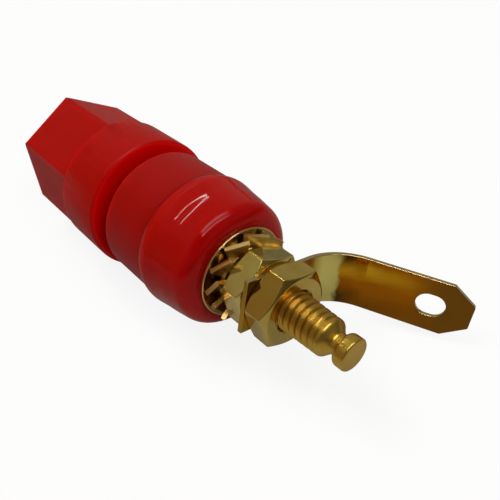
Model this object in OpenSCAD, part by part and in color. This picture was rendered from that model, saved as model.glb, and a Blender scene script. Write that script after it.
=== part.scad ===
// Banana jack: a panel binding post with a hexagonal screw cap and a bent solder tag.
// The jack's axis runs along Y: cap towards -Y, stud towards +Y, panel plane at y = 0, Z up.
// It lies on its cap, with the tag's tip close to the surface. Sizes are in millimetres.

/* [Cap] */
// Diameter of the round skirt
cap_skirt_d = 15.1; // [14.6:0.1:16.5]
// Width across the six flats
cap_flats = 13.1; // [12.4:0.1:13.1]
// Length of the hexagonal grip
cap_hex_len = 11.1; // [10:0.1:14]
// Length of the round skirt
cap_skirt_len = 6.55; // [5:0.05:9]
// Rounding of the six long edges
cap_corner_r = 0.9; // [0.4:0.1:1.4]
// Rounding of the front edges
cap_front_r = 0.7; // [0.3:0.1:1]
// Rounding of the skirt's rim
cap_rim_r = 0.45; // [0.1:0.05:0.6]
// Thickness of the front wall
cap_front_wall = 1.1; // [0.9:0.1:1.6]
// Diameter of the plug's entry hole
cap_entry_d = 4.6; // [4.4:0.1:5.2]
// Diameter of the entry's countersink
cap_sink_d = 6.4; // [5.4:0.1:6.6]
// Turn of the hexagon about the axis, degrees
cap_turn = 36.4; // [0:0.1:60]
// How far the cap is backed off from its collar
cap_back_off = 1.25; // [0.6:0.05:2]
// Chamfer at the mouth of the bush's pocket
cap_pocket_chamfer = 0.3; // [0.1:0.05:0.5]

/* [Cap insert] */
// Outer diameter of the threaded bush
insert_d = 9.6; // [9:0.1:10]
// Length of the bush
insert_len = 8; // [6:0.1:9]
// Width of each moulding groove
insert_groove_w = 1.2; // [0.6:0.1:1.6]
// Depth of each moulding groove
insert_groove_depth = 0.4; // [0.2:0.05:0.6]
// Chamfer at both ends of the bush's bore
insert_chamfer = 0.3; // [0.1:0.05:0.5]

/* [Post] */
// Outer diameter of the cap's thread
barrel_d = 7; // [6.6:0.1:7.4]
// Diameter of the plug socket
socket_d = 4; // [3.8:0.05:4.2]
// Diameter of the wire neck behind the thread
neck_d = 6.1; // [5.6:0.1:6.2]
// Length of the wire neck
neck_len = 2.8; // [2.6:0.1:3.6]
// Diameter of the wire hole
wire_d = 2.4; // [1.6:0.1:2.4]
// Diameter of the collar
collar_d = 10; // [9:0.1:10.4]
// Thickness of the collar
collar_t = 1.6; // [1.2:0.1:2.2]
// How far the collar stands out of the front insulator
collar_proud = 0.6; // [0.3:0.1:0.9]
// Width across flats of the hexagon that stops the post turning
key_flats = 7; // [6.4:0.1:7.4]
// Length of that hexagon
key_len = 2; // [1.4:0.1:2.6]
// Diameter of the shank inside the insulators
shank_d = 5; // [4.6:0.1:5.2]
// Chamfer at both ends of the cap's thread
barrel_chamfer = 0.5; // [0.3:0.05:0.6]
// Chamfer at the socket's mouth
socket_chamfer = 0.4; // [0.2:0.05:0.6]
// Solid left between the socket and the wire neck
socket_floor = 0.3; // [0.2:0.05:0.6]
// Chamfer of the collar's front edge
collar_chamfer = 0.2; // [0.1:0.05:0.3]

/* [Stud] */
// Outer diameter of the stud's thread
stud_d = 3.95; // [3.85:0.05:4]
// Pitch of the stud's thread
stud_pitch = 0.7; // [0.6:0.05:0.8]
// Thread left free behind the outer nut
stud_free = 3.85; // [3:0.05:6]
// Diameter of the thread's worn end
stud_end_d = 3.66; // [3.5:0.02:3.8]
// Radius of the rounded nose after the thread
nose_r = 0.84; // [0.6:0.02:0.86]
// Diameter of the solder neck
turret_neck_d = 2.08; // [1.8:0.02:2.4]
// Length of the solder neck
turret_neck_len = 0.65; // [0.6:0.05:1.4]
// Diameter of the end button
button_d = 3.14; // [2.8:0.02:3.4]
// Thickness of the end button
button_t = 1.3; // [1:0.05:1.6]
// Rounding of the button's edge next to the neck
button_back_r = 0.45; // [0.2:0.05:0.6]
// Rounding of the button's end edge
button_front_r = 0.2; // [0.1:0.02:0.3]

/* [Front insulator] */
// How far the front insulator's side lies inside the rear one's rolled edge
front_step = 0.24; // [0.1:0.02:0.5]
// Length in front of the panel
front_len = 6.5; // [5.6:0.1:8]
// Rounding of its front edge
front_edge_r = 0.3; // [0.1:0.05:0.6]
// Diameter of the spigot that goes through the panel
spigot_d = 8; // [7.4:0.1:8.6]
// Length of the spigot
spigot_len = 2.6; // [1.6:0.1:3]
// Chamfer of the spigot's end
spigot_chamfer = 0.3; // [0.1:0.05:0.5]

/* [Rear insulator] */
// Largest diameter, at the rolled edge
rear_d = 14.54; // [14:0.02:15]
// Radius of the rolled edge
rear_roll_r = 2; // [1.2:0.1:2.6]
// Length behind the panel
rear_len = 6.78; // [5.6:0.02:8]
// Taper of the side towards the nuts, degrees
rear_taper = 9.4; // [6:0.1:12]
// Rounding of the rear edge
rear_end_r = 1.75; // [1:0.05:2.2]

/* [Washers] */
// Diameter of the flat washer
flat_washer_d = 9.5; // [8.8:0.1:9.8]
// Thickness of the flat washer
flat_washer_t = 0.4; // [0.3:0.05:0.6]
// Diameter across the lock washer's tooth tips
star_d = 8.9; // [8.4:0.1:9.2]
// Outer diameter of the lock washer's ring
star_ring_d = 6.4; // [6:0.1:6.6]
// Sheet thickness of the lock washer
star_t = 0.45; // [0.35:0.05:0.5]
// Number of teeth
star_teeth = 12; // [8:1:12]
// Half width of a tooth on the side that rests on the flat washer
star_low_w = 0.88; // [0.7:0.02:0.94]
// Half width of a tooth's tip on the side that rises beside the nut
star_high_w = 1.5; // [1.2:0.05:1.6]
// Half width of a tooth at its root
star_root_w = 0.62; // [0.5:0.02:0.66]
// Twist of a tooth about its own length, degrees
star_twist = 35; // [26:1:36]
// How far a tooth's root runs into the ring
star_root_in = 0.6; // [0.4:0.05:0.7]
// Turn of the lock washer about the axis, degrees
star_turn = 19.8; // [0:0.1:30]

/* [Nuts] */
// Width across flats of both nuts
nut_flats = 7; // [6.8:0.1:7.4]
// Height of each nut
nut_h = 2.62; // [2.2:0.02:3.2]
// Angle of the corner chamfers, degrees
nut_chamfer = 30; // [20:1:35]
// Chamfered face's diameter as a share of the flats
nut_face = 0.94; // [0.88:0.01:0.97]
// Countersink at both ends of a nut's bore
nut_sink = 0.2; // [0.1:0.05:0.4]
// Turn of the inner nut, degrees
inner_turn = 30.3; // [0:0.1:60]
// Turn of the outer nut, degrees
outer_turn = 24.6; // [0:0.1:60]

/* [Solder tag] */
// Sheet thickness of the tag
tag_t = 0.5; // [0.4:0.05:0.7]
// Width of the strip
tag_w = 5.5; // [5.2:0.1:6.4]
// From the axis to the strip's cut end
tag_back = 3.65; // [3.2:0.05:4.2]
// From the axis to the start of the bend
tag_flat = 4.2; // [3.8:0.1:5.4]
// Radius of the bend, at mid thickness
tag_bend_r = 5.6; // [4.8:0.1:7]
// Angle of the bend, degrees
tag_bend = 64; // [50:1:72]
// Length of the straight arm after the bend
tag_arm = 10.25; // [9:0.05:11]
// Width of the arm's end between its cut corners
tag_tip_w = 2.4; // [1.8:0.1:3.2]
// Length of the cut corners along the arm
tag_tip_cut = 2.25; // [1.4:0.05:2.6]
// Width of the oblong hole
tag_hole_w = 2.28; // [1.6:0.02:2.6]
// Length of the oblong hole
tag_hole_len = 2.8; // [2.7:0.05:3.4]
// From the arm's end to the middle of the hole
tag_hole_in = 3.8; // [3.4:0.05:4.4]
// Direction of the arm about the axis, degrees
tag_turn = 200; // [180:0.5:201]

/* [Fits] */
// Radial gap between threads that turn on each other
thread_gap = 0.05; // [0.03:0.01:0.08]
// Radial gap between the cap and its bush
bush_gap = 0.03; // [0.02:0.01:0.06]
// Radial gap between pieces that only locate each other
seat_gap = 0.1; // [0.05:0.01:0.15]
// Radial gap between the stud and what is strung on it
stud_gap = 0.06; // [0.04:0.01:0.12]
// Gap left between the post's front end and the cap's wall when tight
front_gap = 0.12; // [0.08:0.01:0.3]
// Gap beside the barrel in front of the bush
barrel_gap = 0.25; // [0.15:0.05:0.4]

/* [Thread form] */
// Groove depth as a share of the pitch
thread_depth = 0.3; // [0.2:0.01:0.4]
// Half width of a groove at its mouth as a share of the pitch
thread_mouth = 0.28; // [0.2:0.01:0.4]
// Half width of a groove at its root as a share of the pitch
thread_root = 0.06; // [0.04:0.01:0.12]

/* [Hidden] */
$fn = 96;
eps = 0.02;

// Stations along the axis
collar_y = -front_len - collar_proud;
cap_end_y = collar_y - cap_back_off;
shoulder_y = cap_end_y - cap_skirt_len;
cap_front_y = shoulder_y - cap_hex_len;
post_front_y = cap_front_y + cap_front_wall + cap_back_off + front_gap;
barrel_end_y = collar_y - neck_len;
socket_end_y = barrel_end_y - socket_floor;
wire_y = collar_y - neck_len / 2;
collar_back_y = collar_y + collar_t;
key_end_y = collar_back_y + key_len;
shank_end_y = spigot_len - spigot_chamfer;
star_h = 2 * star_low_w * sin(star_twist) + star_t * cos(star_twist);
star_y = rear_len + flat_washer_t;
inner_y = star_y + star_h;
tag_y = inner_y + nut_h;
outer_y = tag_y + tag_t;
outer_end_y = outer_y + nut_h;
thread_end_y = outer_end_y + stud_free;
nose_y = thread_end_y + nose_r / 4;
step_y = nose_y + nose_r;
button_y = step_y + turret_neck_len;
stud_end_y = button_y + button_t;

// Radii shared by fits
stud_bore_r = stud_d / 2 + stud_gap;
stud_depth = thread_depth * stud_pitch;
cap_bore_r = barrel_d / 2 + barrel_gap;
insert_r = insert_d / 2;
recess_r = spigot_d / 2 + seat_gap;
tag_centre = tag_t / 2 + tag_bend_r;
hex_ratio = 1 / cos(30);
front_d = rear_d - 2 * front_step;
// Places of the bush's grooves as shares of its length
groove_shares = [0.3, 0.7];

// Turns a shape drawn about Z onto the jack's axis, local z becoming y
module on_axis() {
    rotate([-90, 0, 0]) children();
}

// Turns a shape about the jack's axis, from +X towards +Z
module turned(angle) {
    rotate([0, 0, -angle]) children();
}

// Hexagon outline with rounded corners, flats this far apart
module soft_hexagon(flats, corner) {
    inner = (flats / 2 - corner) * hex_ratio;
    union() {
        for (k = [0 : 5]) rotate(60 * k) translate([inner, 0]) circle(corner);
        for (k = [0 : 2]) rotate(60 * k + 30) square([flats, 2 * inner * sin(30)], center = true);
        circle(inner, $fn = 6);
    }
}

// Half outline of a round edge: square corner cut back to an arc
module edge_rounding(radius) {
    difference() {
        translate([0, -eps]) square([radius + eps, radius + eps]);
        translate([0, radius]) circle(radius);
    }
}

// Half outlines of ring grooves for a thread between two stations
module thread_grooves(crest_r, depth, pitch, from_y, to_y) {
    turns = floor((to_y - from_y) / pitch);
    for (k = [0 : turns - 1]) {
        mid = from_y + (k + 0.5) * pitch;
        polygon([
            [crest_r + eps, mid - thread_mouth * pitch],
            [crest_r - depth, mid - thread_root * pitch],
            [crest_r - depth, mid + thread_root * pitch],
            [crest_r + eps, mid + thread_mouth * pitch]
        ]);
    }
}

// Solid that trims a hexagon's corners to chamfers at both ends
module nut_blank(height, flats) {
    face_r = flats / 2 * nut_face;
    reach = flats / 2 * hex_ratio + eps;
    drop = (reach - face_r) * tan(nut_chamfer);
    rotate_extrude() polygon([
        [0, 0],
        [face_r, 0],
        [reach, drop],
        [reach, height - drop],
        [face_r, height],
        [0, height]
    ]);
}

module nut(from_y, angle) {
    on_axis() translate([0, 0, from_y]) turned(angle) difference() {
        intersection() {
            cylinder(h = nut_h, r = nut_flats / 2 * hex_ratio, $fn = 6);
            nut_blank(nut_h, nut_flats);
        }
        translate([0, 0, -eps]) cylinder(h = nut_h + 2 * eps, r = stud_bore_r);
        nut_mouths();
    }
}

// Countersinks at both ends of a nut's bore
module nut_mouths() {
    nut_mouth();
    translate([0, 0, nut_h]) mirror([0, 0, 1]) nut_mouth();
}

module nut_mouth() {
    rotate_extrude() polygon([
        [0, -eps],
        [stud_bore_r + nut_sink + eps, -eps],
        [stud_bore_r - eps, nut_sink],
        [0, nut_sink]
    ]);
}

// Straight rounding cutter along one front edge of the hexagonal grip
module front_edge_cutter() {
    half = cap_flats;
    translate([cap_flats / 2 - cap_front_r, half / 2, 0]) rotate([90, 0, 0])
        linear_extrude(half) edge_rounding(cap_front_r);
}

// Hexagonal screw cap moulded in one piece with its skirt
module cap() {
    color("crimson") on_axis() turned(cap_turn) difference() {
        union() {
            translate([0, 0, cap_front_y]) difference() {
                linear_extrude(cap_hex_len + eps) soft_hexagon(cap_flats, cap_corner_r);
                for (k = [0 : 5]) rotate(60 * k + 30) front_edge_cutter();
            }
            translate([0, 0, shoulder_y]) rotate_extrude() difference() {
                square([cap_skirt_d / 2, cap_skirt_len]);
                translate([cap_skirt_d / 2 - cap_rim_r, cap_skirt_len]) mirror([0, 1])
                    edge_rounding(cap_rim_r);
            }
        }
        rotate_extrude() plug_passage();
        rotate_extrude() bush_pocket();
    }
}

// Half outline of the countersunk entry hole and the clearance round the barrel
module plug_passage() {
    polygon([
        [0, cap_front_y - eps],
        [cap_sink_d / 2 + eps, cap_front_y - eps],
        [cap_entry_d / 2, cap_front_y + (cap_sink_d - cap_entry_d) / 2],
        [cap_entry_d / 2, cap_front_y + cap_front_wall],
        [cap_bore_r, cap_front_y + cap_front_wall],
        [cap_bore_r, cap_end_y - insert_len],
        [0, cap_end_y - insert_len]
    ]);
}

// Half outline of the pocket that the plastic forms round the bush, ribs in its grooves
module bush_pocket() {
    mouth_r = insert_r + bush_gap + cap_pocket_chamfer;
    bush_outline(bush_gap);
    polygon([[0, cap_end_y + eps], [mouth_r + eps, cap_end_y + eps], [0, cap_end_y - mouth_r]]);
}

// Half outline of the bush's outside with its two grooves, grown by a gap
module bush_outline(gap) {
    start_y = cap_end_y - insert_len - gap;
    groove_r = insert_r - insert_groove_depth + gap;
    groove_w = insert_groove_w - 2 * gap;
    difference() {
        translate([0, start_y]) square([insert_r + gap, insert_len + 2 * gap]);
        for (share = groove_shares)
            translate([groove_r, cap_end_y - share * insert_len - groove_w / 2])
                square([insert_groove_depth + gap, groove_w]);
    }
}

// Threaded brass bush moulded into the cap
module cap_insert() {
    bore_r = barrel_d / 2 + thread_gap;
    start_y = cap_end_y - insert_len;
    color("gold") on_axis() rotate_extrude() difference() {
        bush_outline(0);
        polygon([
            [0, start_y - eps],
            [bore_r + insert_chamfer + eps, start_y - eps],
            [bore_r, start_y + insert_chamfer],
            [bore_r, cap_end_y - insert_chamfer],
            [bore_r + insert_chamfer + eps, cap_end_y + eps],
            [0, cap_end_y + eps]
        ]);
    }
}

// Post turned from one bar: socket barrel, wire neck, collar, shank, stud and solder turret
module post() {
    color("gold") difference() {
        on_axis() union() {
            rotate_extrude() post_outline();
            translate([0, 0, collar_back_y - eps])
                cylinder(h = key_len + eps, r = key_flats / 2 * hex_ratio, $fn = 6);
        }
        on_axis() socket_bore();
        translate([0, wire_y, 0]) rotate([0, 90, 0]) cylinder(h = 2 * neck_d, d = wire_d, center = true);
    }
}

module post_outline() {
    difference() {
        union() {
            polygon([
                [0, post_front_y],
                [barrel_d / 2 - barrel_chamfer, post_front_y],
                [barrel_d / 2, post_front_y + barrel_chamfer],
                [barrel_d / 2, barrel_end_y - barrel_chamfer],
                [neck_d / 2, barrel_end_y],
                [neck_d / 2, collar_y],
                [collar_d / 2 - collar_chamfer, collar_y],
                [collar_d / 2, collar_y + collar_chamfer],
                [collar_d / 2, collar_back_y],
                [shank_d / 2, collar_back_y],
                [shank_d / 2, shank_end_y - spigot_chamfer],
                [stud_d / 2, shank_end_y],
                [stud_d / 2, outer_end_y],
                [stud_end_d / 2, nose_y],
                [stud_end_d / 2 - nose_r, step_y],
                [turret_neck_d / 2, step_y],
                [turret_neck_d / 2, stud_end_y - button_front_r],
                [0, stud_end_y - button_front_r]
            ]);
            translate([stud_end_d / 2 - nose_r, nose_y]) circle(nose_r);
            button_outline();
        }
        thread_grooves(stud_d / 2, stud_depth, stud_pitch, outer_end_y - stud_pitch / 4, thread_end_y);
    }
}

// End button with rounded rims
module button_outline() {
    rim_r = button_d / 2;
    translate([0, button_y]) {
        square([rim_r - button_back_r, button_t]);
        translate([0, button_back_r]) square([rim_r, button_t - button_back_r - button_front_r]);
        translate([0, button_back_r]) square([rim_r - button_front_r, button_t - button_back_r]);
        translate([rim_r - button_back_r, button_back_r]) circle(button_back_r);
        translate([rim_r - button_front_r, button_t - button_front_r]) circle(button_front_r);
    }
}

module socket_bore() {
    rotate_extrude() polygon([
        [0, post_front_y - eps],
        [socket_d / 2 + socket_chamfer + eps, post_front_y - eps],
        [socket_d / 2, post_front_y + socket_chamfer],
        [socket_d / 2, socket_end_y],
        [0, socket_end_y]
    ]);
}

// Round insulator in front of the panel, with its spigot
module front_insulator() {
    pocket_r = collar_d / 2 + seat_gap;
    color("crimson") on_axis() difference() {
        rotate_extrude() difference() {
            polygon([
                [shank_d / 2 + seat_gap, -front_len],
                [front_d / 2, -front_len],
                [front_d / 2, 0],
                [spigot_d / 2, 0],
                [spigot_d / 2, spigot_len - spigot_chamfer],
                [spigot_d / 2 - spigot_chamfer, spigot_len],
                [shank_d / 2 + seat_gap, spigot_len]
            ]);
            translate([front_d / 2 - front_edge_r, -front_len]) edge_rounding(front_edge_r);
            translate([0, -front_len - eps]) square([pocket_r, collar_back_y + front_len + eps]);
        }
        translate([0, 0, collar_back_y - eps])
            cylinder(h = key_len + seat_gap + eps, r = (key_flats / 2 + seat_gap) * hex_ratio, $fn = 6);
    }
}

// Tapered insulator behind the panel: rolled edge, straight cone, rounded end
module rear_insulator() {
    lip = rear_roll_r - front_step;
    roll_y = sqrt(rear_roll_r * rear_roll_r - lip * lip);
    roll_x = rear_d / 2 - rear_roll_r;
    end_y = rear_len - rear_end_r;
    end_x = roll_x + (rear_roll_r - rear_end_r - (end_y - roll_y) * sin(rear_taper)) / cos(rear_taper);
    color("crimson") on_axis() rotate_extrude() difference() {
        intersection() {
            union() {
                polygon([
                    [stud_bore_r, 0],
                    [roll_x + lip, 0],
                    [roll_x + rear_roll_r * cos(rear_taper), roll_y + rear_roll_r * sin(rear_taper)],
                    [end_x + rear_end_r * cos(rear_taper), end_y + rear_end_r * sin(rear_taper)],
                    [end_x, rear_len],
                    [stud_bore_r, rear_len]
                ]);
                translate([roll_x, roll_y]) circle(rear_roll_r);
                translate([end_x, end_y]) circle(rear_end_r);
            }
            square([rear_d, rear_len]);
        }
        translate([0, -eps]) square([recess_r, spigot_len + 2 * seat_gap + eps]);
    }
}

module flat_washer() {
    color("gold") on_axis() translate([0, 0, rear_len]) difference() {
        cylinder(h = flat_washer_t, d = flat_washer_d);
        translate([0, 0, -eps]) cylinder(h = flat_washer_t + 2 * eps, r = stud_bore_r + seat_gap);
    }
}

// Lock washer stamped from sheet, each outer tooth twisted about its own length
module star_washer() {
    mid = star_y + star_h / 2;
    color("gold") on_axis() translate([0, 0, mid]) difference() {
        union() {
            cylinder(h = star_t, d = star_ring_d, center = true);
            for (k = [0 : star_teeth - 1]) turned(star_turn + k * 360 / star_teeth) star_tooth();
        }
        cylinder(h = 2 * star_h, r = stud_bore_r + seat_gap, center = true);
    }
}

// One tooth: flat blade whose low edge lies on the flat washer and whose high corner clears the nut's chamfer
module star_tooth() {
    root_r = star_ring_d / 2 - star_root_in;
    nut_r = nut_flats / 2 * nut_face;
    tip_r = star_d / 2;
    rotate([-star_twist, 0, 0]) linear_extrude(star_t, center = true) polygon([
        [root_r, star_root_w],
        [nut_r, star_low_w],
        [tip_r, star_low_w],
        [tip_r, -star_high_w],
        [nut_r, -star_low_w],
        [root_r, -star_root_w]
    ]);
}

module inner_nut() {
    color("gold") nut(inner_y, inner_turn);
}

module outer_nut() {
    color("gold") nut(outer_y, outer_turn);
}

// Solder tag: a strip clamped between the nuts, bent towards the stud's end
module solder_tag() {
    color("gold") on_axis() translate([0, 0, tag_y]) turned(tag_turn) difference() {
        translate([0, tag_w / 2, 0]) rotate([90, 0, 0]) linear_extrude(tag_w) tag_side();
        translate([0, 0, -tag_t]) cylinder(h = 3 * tag_t, r = stud_bore_r + seat_gap);
        on_arm() translate([tag_arm - tag_hole_in, 0, -tag_t]) linear_extrude(3 * tag_t) tag_slot();
        on_arm() translate([tag_arm, 0, -tag_t]) linear_extrude(3 * tag_t) tag_corner();
        on_arm() translate([tag_arm, 0, -tag_t]) linear_extrude(3 * tag_t) mirror([0, 1]) tag_corner();
    }
}

// Moves a shape drawn on the unbent strip onto the arm, x counted from the end of the bend
module on_arm() {
    translate([tag_flat, 0, tag_centre]) rotate([0, -tag_bend, 0]) translate([0, 0, -tag_centre]) children();
}

// Side view of the bent strip: straight runs first, then the bend's two arcs
module tag_side() {
    outer_r = tag_bend_r + tag_t / 2;
    inner_r = tag_bend_r - tag_t / 2;
    corner = outer_r * tan(tag_bend / 2);
    run = [cos(tag_bend), sin(tag_bend)];
    out = [sin(tag_bend), -cos(tag_bend)];
    centre = [tag_flat, tag_centre];
    start_out = [tag_flat, 0];
    end_out = centre + outer_r * out;
    end_in = centre + inner_r * out;
    difference() {
        union() {
            polygon([
                [-tag_back, 0],
                start_out,
                end_out,
                end_out + tag_arm * run,
                end_in + tag_arm * run,
                end_in,
                [tag_flat, tag_t],
                [-tag_back, tag_t]
            ]);
            intersection() {
                translate(centre) circle(outer_r);
                polygon([start_out, [tag_flat + corner, 0], end_out, (end_in + [tag_flat, tag_t]) / 2]);
            }
        }
        translate(centre) circle(inner_r);
    }
}

// Oblong hole
module tag_slot() {
    slot = (tag_hole_len - tag_hole_w) / 2;
    translate([-slot, 0]) circle(d = tag_hole_w);
    translate([slot, 0]) circle(d = tag_hole_w);
    square([2 * slot, tag_hole_w], center = true);
}

// Corner cut off the arm's end
module tag_corner() {
    polygon([
        [-tag_tip_cut, tag_w / 2],
        [0, tag_tip_w / 2],
        [tag_t, tag_tip_w / 2],
        [tag_t, tag_w],
        [-tag_tip_cut, tag_w]
    ]);
}

cap();
cap_insert();
post();
front_insulator();
rear_insulator();
flat_washer();
star_washer();
inner_nut();
solder_tag();
outer_nut();
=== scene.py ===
"""Looks of a banana jack: red moulded plastic, gold-plated brass, cut threads.

The frame is in metres. Lengths of the turned and moulded pieces are in millimetres until MM scales them.
The jack's axis runs along Y: the cap lies towards -Y, the stud towards +Y, and Z is up.
"""

import bmesh
import bpy
import numpy as np
from mathutils import Matrix, Vector


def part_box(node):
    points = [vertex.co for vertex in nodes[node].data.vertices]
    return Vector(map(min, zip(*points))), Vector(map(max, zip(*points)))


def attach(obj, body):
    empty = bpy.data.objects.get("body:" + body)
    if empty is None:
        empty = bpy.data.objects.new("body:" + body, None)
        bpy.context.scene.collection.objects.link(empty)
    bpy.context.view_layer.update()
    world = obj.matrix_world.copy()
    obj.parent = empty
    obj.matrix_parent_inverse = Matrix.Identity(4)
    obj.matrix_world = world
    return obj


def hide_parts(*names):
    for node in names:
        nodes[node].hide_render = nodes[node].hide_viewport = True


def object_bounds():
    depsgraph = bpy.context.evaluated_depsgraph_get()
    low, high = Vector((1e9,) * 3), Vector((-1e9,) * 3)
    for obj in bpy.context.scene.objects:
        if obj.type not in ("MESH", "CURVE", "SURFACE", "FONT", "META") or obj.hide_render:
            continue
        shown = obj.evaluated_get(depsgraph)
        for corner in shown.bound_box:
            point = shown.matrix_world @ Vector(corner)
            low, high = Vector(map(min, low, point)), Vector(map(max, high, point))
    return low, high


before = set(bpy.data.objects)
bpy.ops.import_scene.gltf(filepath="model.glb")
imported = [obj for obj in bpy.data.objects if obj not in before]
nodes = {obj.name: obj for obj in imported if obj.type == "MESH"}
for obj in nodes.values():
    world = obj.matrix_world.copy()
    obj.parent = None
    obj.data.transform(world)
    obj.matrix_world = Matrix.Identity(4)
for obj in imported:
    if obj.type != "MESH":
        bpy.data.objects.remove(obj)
solid_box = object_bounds()
scene = bpy.context.scene
MM = 0.001
FULL_TURN = 2 * np.pi
WHITE = (1, 1, 1, 1)
NOISE_MIDDLE = 0.5


# Node trees

class Tree:
    """Short names for the nodes of one material or world."""

    def __init__(self, owner):
        owner.use_nodes = True
        self.tree = owner.node_tree
        self.tree.nodes.clear()

    def node(self, kind, inputs=None, **settings):
        """New node; each input takes a fixed value or the socket that feeds it."""
        made = self.tree.nodes.new("ShaderNode" + kind)
        for name, value in settings.items():
            setattr(made, name, value)
        for name, value in (inputs or {}).items():
            self.put(made.inputs[name], value)
        return made

    def put(self, socket, value):
        """Feeds an input from another node's socket, or sets it to a fixed value."""
        if isinstance(value, bpy.types.NodeSocket):
            self.tree.links.new(value, socket)
        else:
            socket.default_value = value

    def place(self):
        """Place on the piece in the jack's frame."""
        return self.node("TexCoord").outputs["Object"]

    def station(self, place):
        """Place along the jack's axis."""
        return self.node("SeparateXYZ", {0: place}).outputs["Y"]

    def length(self, vector):
        """Length of a vector."""
        return self.node("VectorMath", {0: vector}, operation="LENGTH").outputs["Value"]

    def dot(self, vector, direction):
        """Share of a vector along a direction."""
        made = self.node("VectorMath", {0: vector, 1: direction}, operation="DOT_PRODUCT")
        return made.outputs["Value"]

    def from_axis(self, place):
        """Distance from the jack's axis."""
        return self.length(self.mapped(place, (1, 0, 1)))

    def noise(self, place, scale, detail, roughness=0.55):
        """Cloudy pattern between 0 and 1."""
        made = self.node("TexNoise", {"Vector": place, "Scale": scale, "Detail": detail,
                                      "Roughness": roughness, "Distortion": 0.0})
        return made.outputs["Fac"]

    def ramp(self, value, low, high, out_low=0.0, out_high=1.0):
        """Straight rise from out_low at low to out_high at high, level beyond both."""
        made = self.node("MapRange", {"Value": value, "From Min": low, "From Max": high,
                                      "To Min": out_low, "To Max": out_high}, clamp=True)
        return made.outputs["Result"]

    def math(self, operation, a, b=0.0):
        """One sum, product or other operation on two numbers."""
        made = self.node("Math", {0: a, 1: b}, operation=operation)
        return made.outputs[0]

    def mix(self, share, a, b):
        """Colour between a at share 0 and b at share 1."""
        made = self.node("Mix", data_type="RGBA")
        self.put(made.inputs["Factor"], share)
        self.put(made.inputs["A"], a)
        self.put(made.inputs["B"], b)
        return made.outputs["Result"]

    def mapped(self, place, scale=(1, 1, 1), turn=(0, 0, 0), move=(0, 0, 0)):
        """Place stretched, turned and moved for a pattern."""
        made = self.node("Mapping", {"Vector": place, "Scale": scale, "Rotation": turn, "Location": move})
        return made.outputs["Vector"]

    def bump(self, height, strength, depth):
        """Normal of a surface raised by a height pattern."""
        made = self.node("Bump", {"Height": height, "Strength": strength, "Distance": depth})
        return made.outputs["Normal"]

    def mirrored(self, rays):
        """1 for rays that come by way of a mirror or through glass."""
        return self.math("MAXIMUM", rays.outputs["Is Glossy Ray"], rays.outputs["Is Transmission Ray"])

    def finish(self, shader, out="OutputMaterial"):
        """Ends the tree with its shader."""
        self.node(out, {"Surface": shader})


# Red plastic

CAP_RED = (0.425, 0.0020, 0.0010, 1)
FRONT_RED = (0.35, 0.0025, 0.0025, 1)
REAR_RED = (0.44, 0.0012, 0.0010, 1)
DEEP_SHARE = (0.9, 0.75, 0.8, 1)
RED_RUBBED = (0.47, 0.022, 0.016, 1)
# Painted light on the cap's end face: a brighter red between these stations, standing in for light through
# the wall.
RED_PAINTED_GLOW = (0.66, 0.0006, 0.0004, 1)
PAINTED_GLOW_STATIONS = (-8.50 * MM, -8.36 * MM)
FLOW_BAND = (0.3, 0.75)
SCUFF_STRETCH = (2600, 240, 2600)
SCUFF_TURN = (0.2, 0.5, 0.3)
SCUFF_BAND = (0.66, 0.80)
SCUFF_ROUGHNESS = 0.14
DUST_BAND = (0.77, 0.80)
SEED_SLOPE = 0.7
MARK_SHARE = 0.55
WAVE_BAND = (0.3, 0.7)
GLOSS_BELOW = 0.02
GLOSS_ABOVE = 0.03
FINE_SHARE = 0.2
BROAD_SHARE = 0.1
BROAD_WORN_SHARE = 0.5
RED_RELIEF = 0.10
RED_RELIEF_DEPTH = 0.03 * MM
RED_IOR = 1.5
SCATTER_COLOURS = (1.0, 0.06, 0.03)
SCATTER_DEPTH = 3.2 * MM


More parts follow.
